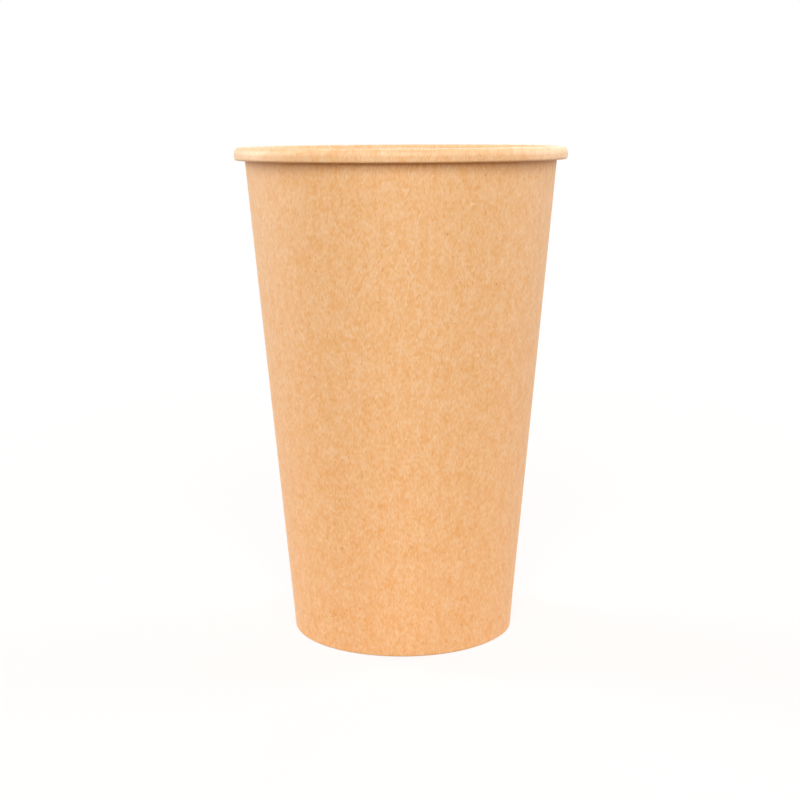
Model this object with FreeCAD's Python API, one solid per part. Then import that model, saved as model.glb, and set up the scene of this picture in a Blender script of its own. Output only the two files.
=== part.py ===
import FreeCAD
import Part
import math
import os

# A single-wall paper coffee cup, in millimetres, standing on its foot with +Z up.
# The origin is the centre of the foot plane. The cup is two pieces of paperboard:
# a conical side wall with a lapped seam, a rolled rim and a hem folded up inside the foot,
# and a flat bottom disc whose turned-down skirt is sealed between the wall and the hem.

Vector = FreeCAD.Vector

# Overall sizes
cup_height = 133.4
rim_diameter = 90.0
foot_diameter = 60.7

# Paperboard, and how far the straight steps that make up a bend may leave its true arc
wall_board = 0.33
disc_board = 0.33
seal_clearance = 0.03
bend_sag = 0.22

# Rolled rim: its height, how far it stands out from the wall, the inner radius of each bend, and
# how far the roll's cut end stays off the lap
roll_height = 2.95
roll_overhang = 3.0
crest_bend = 0.74
shoulder_bend = 0.74
underside_bend = 0.74
roll_end_clearance = 0.05

# Foot: the hem folded up inside it, and the disc above it
hem_height = 7.5
disc_recess = 8.6
skirt_bend = 0.3
skirt_end_clearance = 0.15

# Side seam: where it is, how far the sheet laps over itself, and the slope beside the inner edge
# with its footing in the wall
seam_azimuth = 118.0
lap_width = 8.0
slope_width = 1.3
slope_footing = 0.1

rim_radius = rim_diameter / 2
foot_radius = foot_diameter / 2
roll_bottom = cup_height - roll_height
taper = (rim_radius - roll_overhang - foot_radius) / roll_bottom
slant = math.hypot(1, taper)
wall_across = wall_board * slant
disc_across = disc_board * slant
seal_across = seal_clearance * slant
lap_board = 2 * wall_board
skirt_bottom = lap_board + skirt_end_clearance
disc_top = disc_recess + disc_board


def outer_radius(z):
    """Radius of the wall's outside face at height z."""
    return foot_radius + taper * z


def inner_radius(z):
    """Radius of the wall's inside face at height z."""
    return outer_radius(z) - wall_across


def hem_radius(z):
    """Radius of the hem's face against the skirt, at height z."""
    return inner_radius(z) - disc_across - 2 * seal_across


def at(radius, z):
    """A point of the profile plane, which holds the cup's axis."""
    return Vector(radius, 0, z)


def side_normal(start, end):
    """Unit vector to the right of a run from start to end, in the profile plane."""
    ahead = (end - start).normalize()
    return Vector(ahead.z, 0, -ahead.x)


def other_face(points, thickness):
    """The corners of a board's second face, which lies to the right of the first along its way."""
    normals = [side_normal(start, end) for start, end in zip(points, points[1:])]
    moved = [points[0] + normals[0] * thickness]
    for corner, before, after in zip(points[1:], normals, normals[1:]):
        moved.append(corner + (before + after) * (thickness / (1 + before.dot(after))))
    moved.append(points[-1] + normals[-1] * thickness)
    return moved


def bend_points(before, corner, after, radius):
    """Points along the arc of this radius that rounds a corner, as few as keep to the bend's sag.

    A corner that lies within the sag of its arc stays sharp.
    """
    back = (before - corner).normalize()
    ahead = (after - corner).normalize()
    half_angle = back.getAngle(ahead) / 2
    centre_depth = radius / math.sin(half_angle)
    if centre_depth - radius <= bend_sag:
        return [corner]
    bisector = (back + ahead).normalize()
    centre = corner + bisector * centre_depth
    half_turn = math.pi / 2 - half_angle
    step_turn = 2 * math.acos(1 - min(bend_sag / radius, 1))
    steps = math.ceil(2 * half_turn / step_turn)
    side = (ahead - back).normalize()
    points = []
    for step in range(steps + 1):
        turn = half_turn * (2 * step / steps - 1)
        points.append(centre + side * (radius * math.sin(turn)) - bisector * (radius * math.cos(turn)))
    return points


def bent_face(points, radii):
    """One face of a folded board: its runs, with each inner corner rounded to its radius."""
    face = [points[0]]
    for before, corner, after, radius in zip(points, points[1:], points[2:], radii):
        face += bend_points(before, corner, after, radius)
    return face + [points[-1]]


def board_section(points, bends, thickness):
    """Section of a folded board. The points run along its first face, and bends are inner radii."""
    first_radii = []
    second_radii = []
    for before, corner, after, bend in zip(points, points[1:], points[2:], bends):
        turns_right = side_normal(before, corner).dot(after - corner) > 0
        first_radii.append(bend + thickness if turns_right else bend)
        second_radii.append(bend if turns_right else bend + thickness)
    first = bent_face(points, first_radii)
    second = bent_face(other_face(points, thickness), second_radii)
    return Part.Face(Part.makePolygon(first + second[::-1] + first[:1]))


def turned(section):
    """A section of the profile plane turned once round the cup's axis.

    The turn starts and ends on the far side from the seam, so its own edges stay out of the lap.
    """
    ring = section.revolve(Vector(0, 0, 0), Vector(0, 0, 1), 360)
    ring.rotate(Vector(0, 0, 0), Vector(0, 0, 1), 180)
    return ring


def wall_ring(thickness):
    """The whole folded sheet at one thickness: hem, foot fold, wall and rolled rim.

    The points are on the face that lies inside the cup. It becomes the outside of the roll, because
    the rim rolls outward. The roll's cut end stays clear of the lap, the thickest part of the wall.
    """
    end_height = roll_bottom + thickness
    roll_end = inner_radius(end_height) + (lap_board + roll_end_clearance) * slant
    points = [
        at(hem_radius(hem_height), hem_height),
        at(hem_radius(thickness), thickness),
        at(inner_radius(thickness), thickness),
        at(inner_radius(cup_height), cup_height),
        at(rim_radius, cup_height),
        at(rim_radius, roll_bottom),
        at(roll_end, roll_bottom),
    ]
    creased = 0
    bends = [creased, creased, crest_bend, shoulder_bend, underside_bend]
    return turned(board_section(points, bends, thickness))


def seam_slab():
    """The space of the lap: two parallel planes a lap width apart, on the seam's side of the axis."""
    margin = roll_height
    return Part.makeBox(
        rim_radius + margin,
        lap_width,
        cup_height + 2 * margin,
        Vector(0, -lap_width / 2, -margin),
    )


def seam_slope(corners, low, high):
    """A bar of constant section that runs up the wall beside the lap, from height low to high.

    The corners are (distance from the seam's middle, depth out from the inside face).
    """
    outline = []
    for across, depth in corners:
        reach = math.sqrt(inner_radius(low) ** 2 - across ** 2)
        outline.append(Vector(reach + depth * slant, across, low))
    section = Part.Face(Part.makePolygon(outline + outline[:1]))
    rise = high - low
    return section.extrude(Vector(taper * rise, 0, rise))


def make_side_wall():
    """The rolled sheet: one thickness all round, two thicknesses in the lap, and the slope beside it."""
    slab = seam_slab()
    single = wall_ring(wall_board).cut(slab)
    double = wall_ring(lap_board).common(slab)

    # The sheet's outer layer climbs over the edge of its inner layer, so it stands out on the
    # outside and leaves a narrow groove along the cut edge on the inside.
    edge = -lap_width / 2
    foot_of_slope = edge - slope_width
    climb = wall_board / slope_width
    raised = seam_slope(
        [
            (foot_of_slope - slope_footing / climb, wall_board - slope_footing),
            (edge, lap_board),
            (edge + slope_footing, lap_board - slope_footing),
            (edge + slope_footing, wall_board - slope_footing),
        ],
        lap_board,
        roll_bottom - roll_end_clearance,
    )
    groove = seam_slope(
        [
            (foot_of_slope, 0),
            (edge, wall_board),
            (edge, -slope_footing),
            (foot_of_slope, -slope_footing),
        ],
        skirt_bottom,
        cup_height - crest_bend - lap_board,
    )
    wall = single.fuse([double, raised]).cut(groove).removeSplitter()
    wall.rotate(Vector(0, 0, 0), Vector(0, 0, 1), seam_azimuth)
    return wall


def make_bottom_disc():
    """The disc, with its edge turned down into a skirt that follows the wall."""
    points = [
        at(0, disc_top),
        at(inner_radius(disc_top) - seal_across, disc_top),
        at(inner_radius(skirt_bottom) - seal_across, skirt_bottom),
    ]
    return turned(board_section(points, [skirt_bend], disc_board))


def main():
    os.makedirs("parts", exist_ok=True)
    pieces = {
        "side_wall": make_side_wall(),
        "bottom_disc": make_bottom_disc(),
    }
    for name, shape in pieces.items():
        box = shape.BoundBox
        print(name, len(shape.Solids), "solid, valid:", shape.isValid(), "volume", round(shape.Volume, 2))
        print("  from z", round(box.ZMin, 3), "to", round(box.ZMax, 3))
        shape.exportStep("parts/" + name + ".step")


main()
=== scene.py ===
import math

import bpy
import numpy as np
from mathutils import Matrix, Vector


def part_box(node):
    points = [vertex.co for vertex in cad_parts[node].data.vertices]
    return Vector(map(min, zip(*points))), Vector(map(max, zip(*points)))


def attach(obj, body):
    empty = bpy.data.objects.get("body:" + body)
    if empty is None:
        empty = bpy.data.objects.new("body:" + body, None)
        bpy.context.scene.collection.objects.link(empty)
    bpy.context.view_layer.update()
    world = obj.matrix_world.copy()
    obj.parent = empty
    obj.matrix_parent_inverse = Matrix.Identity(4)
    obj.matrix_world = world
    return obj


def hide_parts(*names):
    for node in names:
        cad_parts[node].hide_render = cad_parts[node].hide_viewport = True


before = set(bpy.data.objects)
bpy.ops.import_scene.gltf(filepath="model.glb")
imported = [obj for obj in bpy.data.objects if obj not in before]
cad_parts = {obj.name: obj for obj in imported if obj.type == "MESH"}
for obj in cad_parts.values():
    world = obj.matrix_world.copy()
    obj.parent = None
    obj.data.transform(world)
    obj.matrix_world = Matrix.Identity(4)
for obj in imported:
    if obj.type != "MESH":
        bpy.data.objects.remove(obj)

# Looks of a single-wall kraft paper cup, which stands on its foot with its axis on Z. The cup's
# sizes are in millimetres, and MM turns them into metres. The studio's sizes are in metres.
MM = 0.001
FULL_TURN = 2 * math.pi
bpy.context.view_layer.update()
wall_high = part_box("side_wall")[1]

# The folded sheet: its overall sizes, its board, and the hem folded up inside the foot
CUP_HEIGHT = wall_high.z / MM
RIM_RADIUS = wall_high.x / MM
FOOT_RADIUS = 30.35
BOARD = 0.33
HEM_HEIGHT = 7.5
FOLD_BEND = 0.05

# The rolled rim: its height, how far it stands out from the wall, the outside radius of each bend,
# how far its side leans in towards the bottom, and the gap between its cut end and the wall
ROLL_HEIGHT = 3.43
ROLL_OVERHANG = 3.043
CREST_BEND = 1.15
SHOULDER_BEND = 1.75
UNDERSIDE_BEND = 0.6
ROLL_LEAN = 0.24
ROLL_END_GAP = 0.12
ROLL_BOTTOM = CUP_HEIGHT - ROLL_HEIGHT

# How far the wall widens per millimetre of height, and how long it is along its slant
TAPER = (RIM_RADIUS - ROLL_OVERHANG - FOOT_RADIUS) / ROLL_BOTTOM
SLANT = math.hypot(1, TAPER)

# The lapped seam: the direction of its middle, its width, the slope beside the sheet's inner edge,
# and the width of a cut edge as the grid draws it
SEAM_AZIMUTH = math.radians(118.0)
LAP_WIDTH = 8.0
LAP_EDGE = LAP_WIDTH / 2
SLOPE_WIDTH = 1.3
CUT_WIDTH = 0.03

# The wall's grid: how far its close columns reach on both sides of the seam's middle, how many lie
# before the slope, on it, on the lap and beyond it, and the strips in the rest of the way round
SEAM_REACH = 8.0
BEFORE_SLOPE_COLUMNS = 6
SLOPE_COLUMNS = 7
LAP_COLUMNS = 17
BEYOND_LAP_COLUMNS = 9
OPEN_STRIPS = 672

# The ribs that press the hem onto the skirt: how many, how high, and the heights between which
# they rise out of the fold. The hem is where the section's normal points inwards past this much.
RIB_COUNT = 184
RIB_HEIGHT = 0.12
RIB_START = (1.2, 2.2)
INWARDS = -0.9

# Slow waves in the wall: how far each stands out, how many rises go round the cup, the angle it
# starts at, and the angle it drifts per millimetre of height. They grow and fade between heights.
WAVES = [(0.035, 2, 0.6, 0.011), (0.025, 3, -1.1, 0.023), (0.015, 7, 0.0, 0.05)]
WAVES_GROW = (3, 20)
WAVES_FADE = (ROLL_BOTTOM - 14, ROLL_BOTTOM - 1)

# A soft corner at the foot, on its right as seen from the front, and the flatter stretch beside
# it: the direction and the half width of each as angles, its depth, and how far up both reach
CORNER_AZIMUTH = math.radians(-14)
CORNER_SPREAD = 0.2
CORNER_BULGE = 0.16
FLAT_AZIMUTH = math.radians(-42)
FLAT_SPREAD = 0.25
FLAT_DEPTH = 0.1
CORNER_REACH = 6.0

# The bottom disc and its skirt, with the clearance on both sides of the skirt
DISC_BOARD = 0.33
DISC_RECESS = 8.6
DISC_TOP = DISC_RECESS + DISC_BOARD
DISC_BEND = 0.6
SKIRT_BOTTOM = 0.81
SEAL_GAP = 0.03

# The disc isn't quite flat: a dome, and a wave of two rises round it, each with the distances from
# the axis between which it grows or fades. The eye is the small fan that closes the middle.
DOME_HEIGHT = 0.12
DOME_FADES = (4, 27)
DISC_WAVE = 0.03
DISC_WAVE_START = 0.9
DISC_WAVE_GROWS = (3, 14)
DISC_WAVE_FADES = (20, 29)
DISC_EYE = 0.4
DISC_COLUMNS = 240

# Edges that turn by more than this are shown sharp
SHARP_ANGLE = math.radians(38)


# Meshes


def smooth(value, low, high):
    """A soft step: 0 below low, 1 above high, and 3 x^2 - 2 x^3 of the way between."""
    way = np.clip((value - low) / (high - low), 0, 1)
    return way * way * (3 - 2 * way)


def rounded_path(corners, bends, run_rows, bend_rows):
    """Straight runs through the corners with a tangent arc at each inner one.

    On an arc a point is its centre plus the radius times a unit vector that swings from one
    tangent point to the other. Returns the points, the unit normals to the right of the way, and
    the length along the path at each point.
    """
    corners = np.array(corners, float)
    ways = np.diff(corners, axis=0)
    ways /= np.linalg.norm(ways, axis=1)[:, None]
    points = []
    tangents = []
    start = corners[0]
    for corner, before, after, bend, rows, arc_rows in zip(
        corners[1:], ways, ways[1:], bends, run_rows, bend_rows
    ):
        turn = math.atan2(before[0] * after[1] - before[1] * after[0], before @ after)
        left = np.array([-before[1], before[0]])
        inwards = left * math.copysign(1, turn)
        arc_start = corner - before * bend * math.tan(abs(turn) / 2)
        centre = arc_start + inwards * bend
        swing = np.linspace(0, turn, arc_rows)
        cos, sin = np.cos(swing)[:, None], np.sin(swing)[:, None]
        arc = centre - inwards * bend * cos + before * bend * np.abs(sin)
        run = start + (arc_start - start) * np.linspace(0, 1, rows, endpoint=False)[:, None]
        points += [run, arc]
        tangents += [np.tile(before, (rows, 1)), before * cos + left * sin]
        start = arc[-1]
    last_rows = run_rows[-1]
    points.append(start + (corners[-1] - start) * np.linspace(0, 1, last_rows + 1)[1:, None])
    tangents.append(np.tile(ways[-1], (last_rows, 1)))
    points = np.concatenate(points)
    tangents = np.concatenate(tangents)
    steps = np.linalg.norm(np.diff(points, axis=0), axis=1)
    lengths = np.concatenate([[0], np.cumsum(steps)])
    normals = np.stack([tangents[:, 1], -tangents[:, 0]], axis=1)
    return points, normals, lengths


def ring_faces(rows, columns):
    """Quads of a grid that closes on itself both along its section and around the axis."""
    row, column = np.meshgrid(np.arange(rows), np.arange(columns), indexing="ij")
    next_row = (row + 1) % rows
    next_column = (column + 1) % columns
    quads = [row * columns + column, next_row * columns + column]
    quads += [next_row * columns + next_column, row * columns + next_column]
    return np.stack(quads, axis=-1).reshape(-1, 4)


def make_piece(name, points, faces, sheet_map, inside, cut):
    """A mesh object from its points, in millimetres, and its faces of three or four corners.

    The sheet map gives each corner's place on the flat sheet, also in millimetres. The two marks
    say which faces are the coated inside and which are raw cut edges.
    """
    mesh = bpy.data.meshes.new(name)
    mesh.from_pydata(points * MM, [], faces)
    sheet = mesh.uv_layers.new(name="sheet")
    sheet.data.foreach_set("uv", (sheet_map * MM).astype(np.float32).ravel())
    for mark, values in (("inside", inside), ("cut", cut)):
        layer = mesh.attributes.new(mark, "FLOAT", "FACE")
        layer.data.foreach_set("value", values.astype(np.float32).ravel())
    mesh.shade_smooth()
    mesh.set_sharp_from_angle(angle=SHARP_ANGLE)
    piece = bpy.data.objects.new(name, mesh)
    bpy.context.scene.collection.objects.link(piece)
    return piece


def inner_radius(z):
    """Radius of the wall's inside face at height z."""
    return FOOT_RADIUS + TAPER * z - BOARD * SLANT


def hem_radius(z):
    """Radius of the hem's face against the skirt at height z."""
    return inner_radius(z) - (DISC_BOARD + 2 * SEAL_GAP) * SLANT


def bump_at(azimuth, middle, spread):
    """A smooth bump round the cup: the bell curve of the angle from its middle."""
    around = np.angle(np.exp(1j * (azimuth - middle)))
    return np.exp(-((around / spread) ** 2))


def wall_unevenness(azimuth, height):
    """How far the wall stands off its true cone, in millimetres.

    A few slow sine waves run round the cup and fade out at the rolled rim and at the foot, where a
    soft corner stands out beside a flatter stretch.
    """
    waves = sum(
        depth * np.sin(rises * azimuth + start + drift * height)
        for depth, rises, start, drift in WAVES
    )
    waves = waves * (smooth(height, *WAVES_GROW) * (1 - smooth(height, *WAVES_FADE)))
    corner = CORNER_BULGE * bump_at(azimuth, CORNER_AZIMUTH, CORNER_SPREAD)
    corner = corner - FLAT_DEPTH * bump_at(azimuth, FLAT_AZIMUTH, FLAT_SPREAD)
    return waves + corner * np.exp(-((height / CORNER_REACH) ** 2))


def wall_columns():
    """Where the wall grid's columns stand round the cup.

    Returns the distances of the columns at the seam from its middle, close together at the edges
    and on the slope, and the even shares of the rest of the way round of the others.
    """
    slope_start = -LAP_EDGE - SLOPE_WIDTH
    near = np.concatenate([
        np.linspace(-SEAM_REACH, slope_start, BEFORE_SLOPE_COLUMNS, endpoint=False),
        np.linspace(slope_start, -LAP_EDGE - CUT_WIDTH, SLOPE_COLUMNS),
        np.linspace(-LAP_EDGE, LAP_EDGE, LAP_COLUMNS),
        np.linspace(LAP_EDGE + CUT_WIDTH, SEAM_REACH, BEYOND_LAP_COLUMNS),
    ])
    return near, np.arange(1, OPEN_STRIPS) / OPEN_STRIPS


def seam_climb(across):
    """How far each face climbs at a distance across from the seam's middle, in boards.

    Both climb in a straight slope up to the sheet's inner edge. At the edge the first face drops
    back, which leaves the groove, and the second stays up as far as the outer edge.
    """
    slope = np.clip((across + LAP_EDGE + SLOPE_WIDTH) / (SLOPE_WIDTH - CUT_WIDTH), 0, 1)
    first = np.where(across < -LAP_EDGE - CUT_WIDTH / 2, slope, 0)
    second = np.where(across <= LAP_EDGE, slope, 0)
    return first, second


def hem_pressing(turn, height):
    """What pressing adds to the depth of the hem's open face: 0 on a rib, and less between them.

    The ribs are a cosine wave of the turn, and rise out of the fold in a soft step of the height.
    """
    rib = 0.5 + 0.5 * np.cos(RIB_COUNT * turn)
    return RIB_HEIGHT * smooth(height, *RIB_START) * rib - RIB_HEIGHT


def wall_marks(face_rows, near, columns):
    """Marks on the wall grid's faces, and the column at which the sheet ends on each row.

    The first rows are the sheet's inside, which ends at its inner edge, and the others are its
    outside, which ends at its outer edge. Both edges and both ends of the section are raw cuts.
    """
    rows = 2 * face_rows
    first_face = slice(0, face_rows - 1)
    second_face = slice(face_rows, rows - 1)
    inner_edge = np.searchsorted(near, -LAP_EDGE) - 1
    outer_edge = np.searchsorted(near, LAP_EDGE, side="right") - 1
    inside = np.zeros((rows, columns))
    inside[first_face] = 1
    cut = np.zeros((rows, columns))
    cut[[face_rows - 1, rows - 1]] = 1
    cut[first_face, inner_edge] = 1
    cut[second_face, outer_edge] = 1
    last_column = np.where(inside[:, :1] > 0, inner_edge, outer_edge)
    return inside, cut, last_column


def wall_sheet_map(lengths, turn, last_column):
    """Where the corners of the wall grid's faces lie on the flat sheet, which is a fan.

    A point's distance from the fan's centre grows along the section, and its angle is the turn
    from the side opposite the seam, shrunk by the cone's slant.
    """
    fan_radius = FOOT_RADIUS * SLANT / TAPER + lengths
    fan_radius = np.concatenate([fan_radius, fan_radius[::-1]])
    turn = np.concatenate([turn, turn[::-1]])
    rows, columns = turn.shape
    full_turn = np.concatenate([turn, turn[:, :1] + FULL_TURN], axis=1)
    wrap = np.where(np.arange(columns)[None, :] <= last_column, math.pi, -math.pi)
    corners = []
    for row_step, column_step in ((0, 0), (1, 0), (1, 1), (0, 1)):
        row = (np.arange(rows) + row_step) % rows
        angle = full_turn[row][:, column_step : columns + column_step] + wrap
        angle = angle * TAPER / SLANT
        far = fan_radius[row][:, None]
        corners.append(np.stack([far * np.sin(angle), far * np.cos(angle)], axis=-1))
    return np.stack(corners, axis=2).reshape(-1, 2)


def make_side_wall():
    """The folded sheet as one closed surface.

    Its section runs down the hem's face against the skirt, round the foot fold, up the inside of
    the cup and round the outside of the roll, then back along the sheet's other face, a board's
    thickness to the right. A point is the section's point, moved along its normal by the depth of
    its face, and turned round the axis to its column. In the lap the second face lies twice as
    deep, and beside the inner edge both faces slope.
    """
    section, normals, lengths = rounded_path(
        corners=[
            (hem_radius(HEM_HEIGHT), HEM_HEIGHT),
            (hem_radius(BOARD), BOARD),
            (inner_radius(BOARD), BOARD),
            (inner_radius(CUP_HEIGHT), CUP_HEIGHT),
            (RIM_RADIUS, CUP_HEIGHT),
            (RIM_RADIUS - ROLL_LEAN, ROLL_BOTTOM),
            (inner_radius(ROLL_BOTTOM) + (BOARD + ROLL_END_GAP) * SLANT, ROLL_BOTTOM),
        ],
        bends=[FOLD_BEND, FOLD_BEND, CREST_BEND, SHOULDER_BEND, UNDERSIDE_BEND],
        run_rows=[8, 1, 15, 2, 2, 2],
        bend_rows=[5, 5, 9, 9, 8],
    )
    radius, height = section[:, :1], section[:, 1:]
    near, share = wall_columns()
    open_turn = FULL_TURN - (near[-1] - near[0]) / radius
    turn = np.concatenate([near / radius, near[-1] / radius + open_turn * share], axis=1)
    across = np.concatenate([near, np.full(len(share), 2 * SEAM_REACH)])
    first_climb, second_climb = seam_climb(across)

    on_hem = (normals[:, :1] < INWARDS) & (radius < FOOT_RADIUS)
    first_depth = BOARD * first_climb
    second_depth = BOARD * (1 + second_climb) + np.where(on_hem, hem_pressing(turn, height), 0)

    azimuth = SEAM_AZIMUTH + turn
    shift = wall_unevenness(azimuth, height)
    faces_of_sheet = []
    for depth in (first_depth, second_depth):
        reach = radius + normals[:, :1] * depth + shift
        level = np.maximum(height + normals[:, 1:] * depth, 0)
        face = np.stack([reach * np.cos(azimuth), reach * np.sin(azimuth), level], axis=-1)
        faces_of_sheet.append(face)
    points = np.concatenate([faces_of_sheet[0], faces_of_sheet[1][::-1]])
    rows, columns = points.shape[:2]
    inside, cut, last_column = wall_marks(len(section), near, columns)
    return make_piece(
        "kraft_side_wall",
        points.reshape(-1, 3),
        ring_faces(rows, columns).tolist(),
        wall_sheet_map(lengths, turn, last_column),
        inside,
        cut,
    )


def disc_swell(radius, azimuth):
    """How far the disc stands off flat: a soft step down from the middle, and a slow sine wave."""
    dome = DOME_HEIGHT * (1 - smooth(radius, *DOME_FADES))
    wave = DISC_WAVE * np.sin(2 * azimuth + DISC_WAVE_START)
    return dome + wave * smooth(radius, *DISC_WAVE_GROWS) * (1 - smooth(radius, *DISC_WAVE_FADES))


def disc_sheet_map(points):
    """Where the disc's points lie on its blank: out from the middle, then on down the skirt."""
    radius = np.hypot(points[:, 0], points[:, 1])
    drop = np.maximum(DISC_RECESS - points[:, 2], 0)
    stretch = (radius + drop) / np.maximum(radius, 1e-6)
    return points[:, :2] * stretch[:, None]


def make_bottom_disc():
    """The disc and its skirt as one closed surface: a board section turned round the axis.

    A point is the section's point, moved along its normal by the board where it is on the lower
    face, and lifted by the disc's swell. A fan of triangles closes the middle of each face.
    """
    section, normals, _ = rounded_path(
        corners=[
            (DISC_EYE, DISC_TOP),
            (inner_radius(DISC_TOP) - SEAL_GAP * SLANT, DISC_TOP),
            (inner_radius(SKIRT_BOTTOM) - SEAL_GAP * SLANT, SKIRT_BOTTOM),
        ],
        bends=[DISC_BEND],
        run_rows=[24, 6],
        bend_rows=[9],
    )
    azimuth = np.linspace(0, FULL_TURN, DISC_COLUMNS, endpoint=False)[None, :]
    faces_of_board = []
    for depth in (0, DISC_BOARD):
        radius = section[:, :1] + normals[:, :1] * depth
        level = section[:, 1:] + normals[:, 1:] * depth + disc_swell(radius, azimuth)
        face = np.stack([radius * np.cos(azimuth), radius * np.sin(azimuth), level], axis=-1)
        faces_of_board.append(face)
    upper, lower = faces_of_board
    ring = np.concatenate([upper, lower[::-1]]).reshape(-1, 3)
    points = np.concatenate([ring, [upper[0].mean(axis=0), lower[0].mean(axis=0)]])

    rows = 2 * len(section)
    last_row = (rows - 1) * DISC_COLUMNS
    quads = ring_faces(rows, DISC_COLUMNS)[:last_row]
    column = np.arange(DISC_COLUMNS)
    next_column = (column + 1) % DISC_COLUMNS
    middle = np.full(DISC_COLUMNS, len(ring))
    upper_fan = np.stack([middle, column, next_column], axis=1)
    lower_fan = np.stack([middle + 1, last_row + next_column, last_row + column], axis=1)
    triangles = np.concatenate([upper_fan, lower_fan])
    corner = np.concatenate([quads.ravel(), triangles.ravel()])
    unmarked = np.zeros(len(quads) + len(triangles))
    return make_piece(
        "kraft_bottom_disc",
        points,
        quads.tolist() + triangles.tolist(),
        disc_sheet_map(points)[corner],
        unmarked,
        unmarked,
    )


# Materials


def tone(red, green, blue):
    """A colour as it looks on a screen, 0 to 255, made the linear colour that a shader takes."""
    linear = []
    for level in (red, green, blue):
        share = level / 255
        linear.append(share / 12.92 if share <= 0.04045 else ((share + 0.055) / 1.055) ** 2.4)
    return (*linear, 1.0)


# The board's colours
PALE_FIBRE = tone(237, 207, 166)
DEEP_FIBRE = tone(224, 163, 90)
PALE_HAIR = tone(251, 224, 184)
DARK_HAIR = tone(196, 108, 40)
SPECK = tone(150, 80, 32)
# Dark brown for the cut edges: partly the raw edge's own tone, partly painted shade as of a shadow
# gap at the seam
CUT_EDGE_AND_SHADE = tone(160, 98, 54)
# Pale cream for the coated inside: partly the coating's own tone, partly a painted sheen of its
# gloss
COATING_AND_SHEEN = tone(250, 228, 200)
WHITE = (1, 1, 1, 1)

# How strongly each layer of the pattern moves the colour between the deep and the pale fibre, how
# strong the fibres along the sheet are beside the slanting ones, and how much of its colour each
# mark shows. The coated inside's paler colour is partly a painted sheen, and the cut edges' dark
# colour is partly painted shade.
CLOUD_SHARE = 0.1
PATCH_SHARE = 0.74
MOTTLE_SHARE = 0.78
FIBRE_SHARE = 0.74
ALONG_SHARE = 0.8
PALE_HAIR_SHARE = 0.4
DARK_HAIR_SHARE = 0.32
SPECK_SHARE = 0.45
COATING_AND_SHEEN_SHARE = 0.1
CUT_EDGE_AND_SHADE_SHARE = 0.85

# A hair lies where one noise is this close to its middle and another is above these levels
HAIR_WIDTH = 0.02
HAIR_BITS = (0.6, 0.66)

# Specks: how far apart they could lie, the shares of that between which one fades out, the width
# of a cluster of them, and the levels of its noise between which they appear
SPECK_SPACING = 2.6
SPECK_SIZE = (0.05, 0.1)
CLUSTER_WIDTH = 5.0
CLUSTER_BITS = (0.54, 0.64)

# The inside's pattern is taken this far off the sheet, so the two sides don't match
SIDES_APART = 0.4

# The board's surface: what its relief is made of, how strong and how deep that is, its roughness
# with the share that the relief adds and the share that the coating takes off, the inside's
# coating, and the sheen of its fibres
FIBRE_RELIEF = 0.5
MOTTLE_RELIEF = 0.4
RELIEF_STRENGTH = 0.35
RELIEF_DEPTH = 0.08 * MM
ROUGHNESS = 0.62
RELIEF_ROUGHNESS = 0.25
COATED_SMOOTHER = 0.1
COATING = 0.2
COATING_ROUGHNESS = 0.45
SHEEN = 0.1
SHEEN_ROUGHNESS = 0.4

# Where the colour mix node keeps its two colours and its result, which share their names with
# the sockets for numbers
MIX_FIRST, MIX_SECOND, MIX_RESULT = 6, 7, 2


class Value:
    """One output of a shader node. Arithmetic on it adds Math nodes to its finish."""

    def __init__(self, finish, socket):
        self.finish = finish
        self.socket = socket

    def output(self, name):
        """Another output of the same node."""
        return Value(self.finish, self.socket.node.outputs[name])

    def result(self, operation, *terms):
        """What a Math node makes of the terms."""
        return self.finish.node("ShaderNodeMath", {"operation": operation}, dict(enumerate(terms)))

    def maximum(self, other):
        return self.result("MAXIMUM", self, other)

    def __add__(self, other):
        return self.result("ADD", self, other)

    def __sub__(self, other):
        return self.result("SUBTRACT", self, other)

    def __rsub__(self, other):
        return self.result("SUBTRACT", other, self)

    def __mul__(self, other):
        return self.result("MULTIPLY", self, other)

    def __abs__(self):
        return self.result("ABSOLUTE", self)

    __radd__ = __add__
    __rmul__ = __mul__


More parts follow.
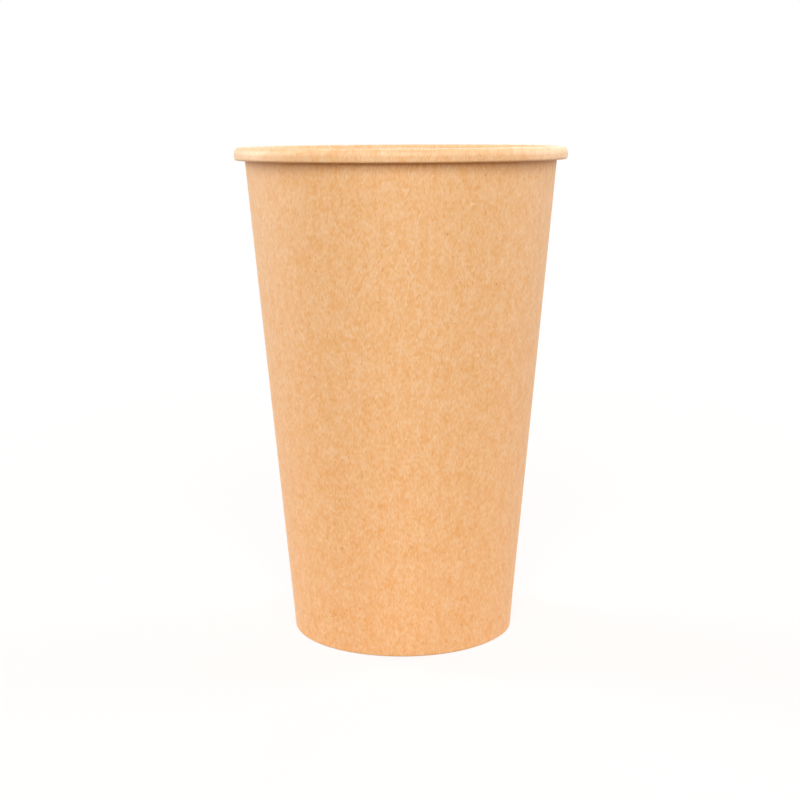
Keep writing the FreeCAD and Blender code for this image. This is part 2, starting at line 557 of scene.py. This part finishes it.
class Finish:
    """The shader nodes of a material or of the world, under construction."""

    def __init__(self, owner):
        self.owner = owner
        owner.use_nodes = True
        self.tree = owner.node_tree
        self.tree.nodes.clear()

    def node(self, kind, settings=None, sockets=None, out=0):
        """Adds a node: its settings first, then the values or links of its sockets."""
        node = self.tree.nodes.new(kind)
        for name, setting in (settings or {}).items():
            setattr(node, name, setting)
        for name, value in (sockets or {}).items():
            if isinstance(value, Value):
                self.tree.links.new(value.socket, node.inputs[name])
            else:
                node.inputs[name].default_value = value
        return Value(self, node.outputs[out])

    def show(self, shader, output="ShaderNodeOutputMaterial"):
        """Links the finished shader to the output, and returns the material or the world."""
        node = self.tree.nodes.new(output)
        self.tree.links.new(shader.socket, node.inputs["Surface"])
        return self.owner

    def mark(self, name):
        """The mark of that name on the mesh's faces."""
        return self.node("ShaderNodeAttribute", {"attribute_name": name}, out="Fac")

    def ramp(self, value, low, high):
        """0 below low and 1 above high, in a straight line between."""
        return self.node(
            "ShaderNodeMapRange", None, {"Value": value, "From Min": low, "From Max": high}
        )

    def blend(self, share, first, second):
        """The first colour where the share is 0, and the second where it is 1."""
        return self.node(
            "ShaderNodeMix",
            {"data_type": "RGBA"},
            {"Factor": share, MIX_FIRST: first, MIX_SECOND: second},
            out=MIX_RESULT,
        )

    def mix(self, share, first, second):
        """The first shader where the share is 0, and the second where it is 1."""
        return self.node("ShaderNodeMixShader", None, {0: share, 1: first, 2: second})

    def matt(self, colour):
        """A plain matt shader."""
        return self.node("ShaderNodeBsdfDiffuse", None, {"Color": colour})

    def noise(self, place, size, detail=0.0):
        """Soft noise around 0.5, with features of about the given size in millimetres."""
        return self.node(
            "ShaderNodeTexNoise",
            None,
            {"Vector": place, "Scale": 1 / (size * MM), "Detail": detail},
        )

    def stretch(self, place, length, angle):
        """The same place squeezed lengthwise and turned, so a pattern there is that much longer."""
        return self.node(
            "ShaderNodeMapping",
            None,
            {"Vector": place, "Rotation": (0, 0, angle), "Scale": (1, 1 / length, 1)},
        )

    def grain(self, place, size, length, angle=0.0, detail=1.0):
        """Noise around 0 whose features are some times as long as they are wide, at an angle."""
        return self.noise(self.stretch(place, length, angle), size, detail) - 0.5

    def hairs(self, place, size, length):
        """Thin single fibres: where a slow noise crosses its middle, cut into short bits."""
        line = 1 - self.ramp(abs(self.noise(place, size) - 0.5), 0.0, HAIR_WIDTH)
        return line * self.ramp(self.noise(place, length), *HAIR_BITS)

    def specks(self, place):
        """Rare dark specks: the middles of scattered cells, only where a slow noise is high."""
        cells = self.node(
            "ShaderNodeTexVoronoi",
            None,
            {
                "Vector": self.stretch(place, length=1.7, angle=0.4),
                "Scale": 1 / (SPECK_SPACING * MM),
            },
        )
        cluster = self.ramp(self.noise(place, CLUSTER_WIDTH), *CLUSTER_BITS)
        return (1 - self.ramp(cells, *SPECK_SIZE)) * cluster


def kraft_board(name):
    """Unbleached kraft board: pale and deep fibres laid mostly one way, soft clouds, rare specks.

    The pattern lies on the flat sheet, so it follows the surface through every fold.
    """
    finish = Finish(bpy.data.materials.new(name))
    inside = finish.mark("inside")
    cut = finish.mark("cut")
    sheet = finish.node("ShaderNodeUVMap", {"uv_map": "sheet"})
    apart = finish.node("ShaderNodeCombineXYZ", None, {"Z": inside * SIDES_APART})
    place = finish.node("ShaderNodeVectorMath", {"operation": "ADD"}, {0: sheet, 1: apart})

    cloud = finish.noise(place, size=14.0, detail=1.0) - 0.5
    patch = finish.grain(place, size=2.6, length=1.9, detail=2.0)
    mottle = finish.grain(place, size=1.1, length=1.5, detail=2.0)
    along = finish.grain(place, size=0.38, length=2.8, angle=0.06)
    leaning = finish.grain(place, size=0.35, length=3.4, angle=0.55)
    crossing = finish.grain(place, size=0.35, length=3.4, angle=-0.65)
    fibre = ALONG_SHARE * along + leaning + crossing
    shade = 0.5 + CLOUD_SHARE * cloud + PATCH_SHARE * patch
    shade = shade + MOTTLE_SHARE * mottle + FIBRE_SHARE * fibre

    pale_hairs = finish.hairs(place, size=4.3, length=1.5)
    dark_hairs = finish.hairs(place, size=5.1, length=1.3)
    colour = finish.blend(shade, DEEP_FIBRE, PALE_FIBRE)
    colour = finish.blend(PALE_HAIR_SHARE * pale_hairs, colour, PALE_HAIR)
    colour = finish.blend(DARK_HAIR_SHARE * dark_hairs, colour, DARK_HAIR)
    colour = finish.blend(SPECK_SHARE * finish.specks(place), colour, SPECK)
    # Painted sheen, partly: the coated inside is blended a little towards pale cream
    colour = finish.blend(COATING_AND_SHEEN_SHARE * inside, colour, COATING_AND_SHEEN)
    # Painted shade, partly: the raw cut edges are blended far towards dark brown, as in a shadow
    # gap
    colour = finish.blend(CUT_EDGE_AND_SHADE_SHARE * cut, colour, CUT_EDGE_AND_SHADE)

    relief = FIBRE_RELIEF * fibre + MOTTLE_RELIEF * mottle
    bump = finish.node(
        "ShaderNodeBump",
        None,
        {"Strength": RELIEF_STRENGTH, "Distance": RELIEF_DEPTH, "Height": relief},
    )
    shader = finish.node(
        "ShaderNodeBsdfPrincipled",
        None,
        {
            "Base Color": colour,
            "Roughness": ROUGHNESS + RELIEF_ROUGHNESS * relief - COATED_SMOOTHER * inside,
            "Normal": bump,
            "Coat Weight": COATING * inside,
            "Coat Roughness": COATING_ROUGHNESS,
            "Sheen Weight": SHEEN,
            "Sheen Roughness": SHEEN_ROUGHNESS,
        },
    )
    return finish.show(shader)


# The studio

# The floor: half its width, and how far it lies under the foot
FLOOR_REACH = 6.0
FLOOR_DROP = 0.02 * MM

# The floor's look: its colour in light and shadow, the share of white mixed in near the cup, and
# the distances between which that grows to all white
FLOOR_COLOUR = (0.86, 0.86, 0.86, 1)
FLOOR_WHITE = 0.8
FLOOR_FADE = (0.12, 0.45)

# What the floor sends back onto the cup: a warm colour near it and a dim one beyond, with the
# distances between which the one turns into the other
NEAR_BOUNCE = (0.54, 0.36, 0.22, 1)
FAR_BOUNCE = (0.14, 0.1, 0.06, 1)
BOUNCE_FADE = (0.13, 0.17)

# The fill from all round, which is warm as light scattered in the board is
FILL = 0.25
FILL_COLOUR = (1.0, 0.5, 0.24, 1)

# The camera stands where the photograph was taken from, with its place in millimetres, and sees
# what is between two distances
CAMERA_PLACE = (-0.54, -411.0, 138.66)
CAMERA_PITCH = math.radians(10.316)
CAMERA_ROLL = math.radians(-0.279)
CAMERA_SIGHT = (0.01, 50.0)
FRAME_PIXELS = 800
FOCAL_PIXELS = 1502.5
SENSOR = 36.0


def seen_directly(finish):
    """1 for rays from the camera and rays that a reflection or a clear piece sends on."""
    camera = finish.node("ShaderNodeLightPath", out="Is Camera Ray")
    glossy, through = camera.output("Is Glossy Ray"), camera.output("Is Transmission Ray")
    return camera.maximum(glossy).maximum(through)


def floor_finish():
    """A plain pale floor that looks near white, keeps the cup's shadow and fades to white far off.

    It is see-through from below, so the foot can be looked at from there.
    """
    finish = Finish(bpy.data.materials.new("pale_floor"))
    place = finish.node("ShaderNodeTexCoord", out="Object")
    away = finish.node("ShaderNodeVectorMath", {"operation": "LENGTH"}, {0: place}, out="Value")
    white_share = FLOOR_WHITE + (1 - FLOOR_WHITE) * finish.ramp(away, *FLOOR_FADE)
    white = finish.node("ShaderNodeEmission", None, {"Color": WHITE})
    look = finish.mix(white_share, finish.matt(FLOOR_COLOUR), white)
    far = finish.ramp(away, *BOUNCE_FADE)
    bounce = finish.mix(far, finish.matt(NEAR_BOUNCE), finish.matt(FAR_BOUNCE))
    upper = finish.mix(seen_directly(finish), bounce, look)
    from_below = finish.node("ShaderNodeNewGeometry", out="Backfacing")
    return finish.show(finish.mix(from_below, upper, finish.node("ShaderNodeBsdfTransparent")))


def make_floor():
    """A large flat sheet a hair under the foot."""
    corners = [(-1, -1), (1, -1), (1, 1), (-1, 1)]
    mesh = bpy.data.meshes.new("floor")
    mesh.from_pydata(
        [(FLOOR_REACH * x, FLOOR_REACH * y, -FLOOR_DROP) for x, y in corners], [], [(0, 1, 2, 3)]
    )
    floor = bpy.data.objects.new("floor", mesh)
    bpy.context.scene.collection.objects.link(floor)
    floor.data.materials.append(floor_finish())


def make_world():
    """White surroundings to the camera, and a weaker, warm fill for the cup."""
    world = bpy.data.worlds.new("studio")
    bpy.context.scene.world = world
    finish = Finish(world)
    direct = seen_directly(finish)
    background = finish.node(
        "ShaderNodeBackground",
        None,
        {
            "Color": finish.blend(direct, FILL_COLOUR, WHITE),
            "Strength": FILL + (1 - FILL) * direct,
        },
    )
    finish.show(background, "ShaderNodeOutputWorld")


def stand(data, right, up, back, place):
    """An object for a lamp or the camera at a place, with its own axes along the given ones."""
    thing = bpy.data.objects.new(data.name, data)
    bpy.context.scene.collection.objects.link(thing)
    columns = np.stack([right, up, back, place], axis=1)
    thing.matrix_world = Matrix([*columns.tolist(), (0, 0, 0, 1)])
    return thing


def make_lamp(name, place, aim_height, width, height, power):
    """A soft box: a rectangle lamp at a place, which faces a point on the cup's axis."""
    data = bpy.data.lights.new(name, "AREA")
    data.shape = "RECTANGLE"
    data.size = width
    data.size_y = height
    data.energy = power
    back = np.array(place) - (0, 0, aim_height)
    back /= np.linalg.norm(back)
    right = np.cross((0, 0, 1), back)
    right /= np.linalg.norm(right)
    stand(data, right, np.cross(back, right), back, place)


def make_camera():
    """Looks along +Y, tipped down by the pitch and rolled a little, with no shift."""
    data = bpy.data.cameras.new("camera")
    data.sensor_width = SENSOR
    data.lens = FOCAL_PIXELS * SENSOR / FRAME_PIXELS
    data.clip_start, data.clip_end = CAMERA_SIGHT
    level_right = np.array([1.0, 0.0, 0.0])
    level_up = np.array([0.0, math.sin(CAMERA_PITCH), math.cos(CAMERA_PITCH)])
    cos, sin = math.cos(CAMERA_ROLL), math.sin(CAMERA_ROLL)
    right = cos * level_right + sin * level_up
    up = cos * level_up - sin * level_right
    place = np.array(CAMERA_PLACE) * MM
    bpy.context.scene.camera = stand(data, right, up, np.cross(right, up), place)


def main():
    make_camera()
    make_world()
    make_floor()
    make_lamp("front", (0.0, -1.1, 0.7), aim_height=0.09, width=0.9, height=0.9, power=16.4)
    make_lamp("above", (0.0, 0.15, 1.2), aim_height=0.09, width=0.8, height=0.8, power=0.7)
    make_lamp("left", (-0.95, 0.4, 0.42), aim_height=0.07, width=0.5, height=0.75, power=8.8)
    make_lamp("right", (0.95, 0.35, 0.42), aim_height=0.07, width=0.5, height=0.75, power=6.6)
    make_lamp("back", (0.3, 1.05, 0.75), aim_height=0.07, width=0.9, height=0.9, power=5.0)

    wall = make_side_wall()
    wall.data.materials.append(kraft_board("kraft_board"))
    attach(wall, "root")
    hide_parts("side_wall")

    disc = make_bottom_disc()
    disc.data.materials.append(kraft_board("kraft_disc"))
    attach(disc, "root")
    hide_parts("bottom_disc")

    bpy.context.scene.view_settings.view_transform = "Standard"


main()
bpy.context.view_layer.update()
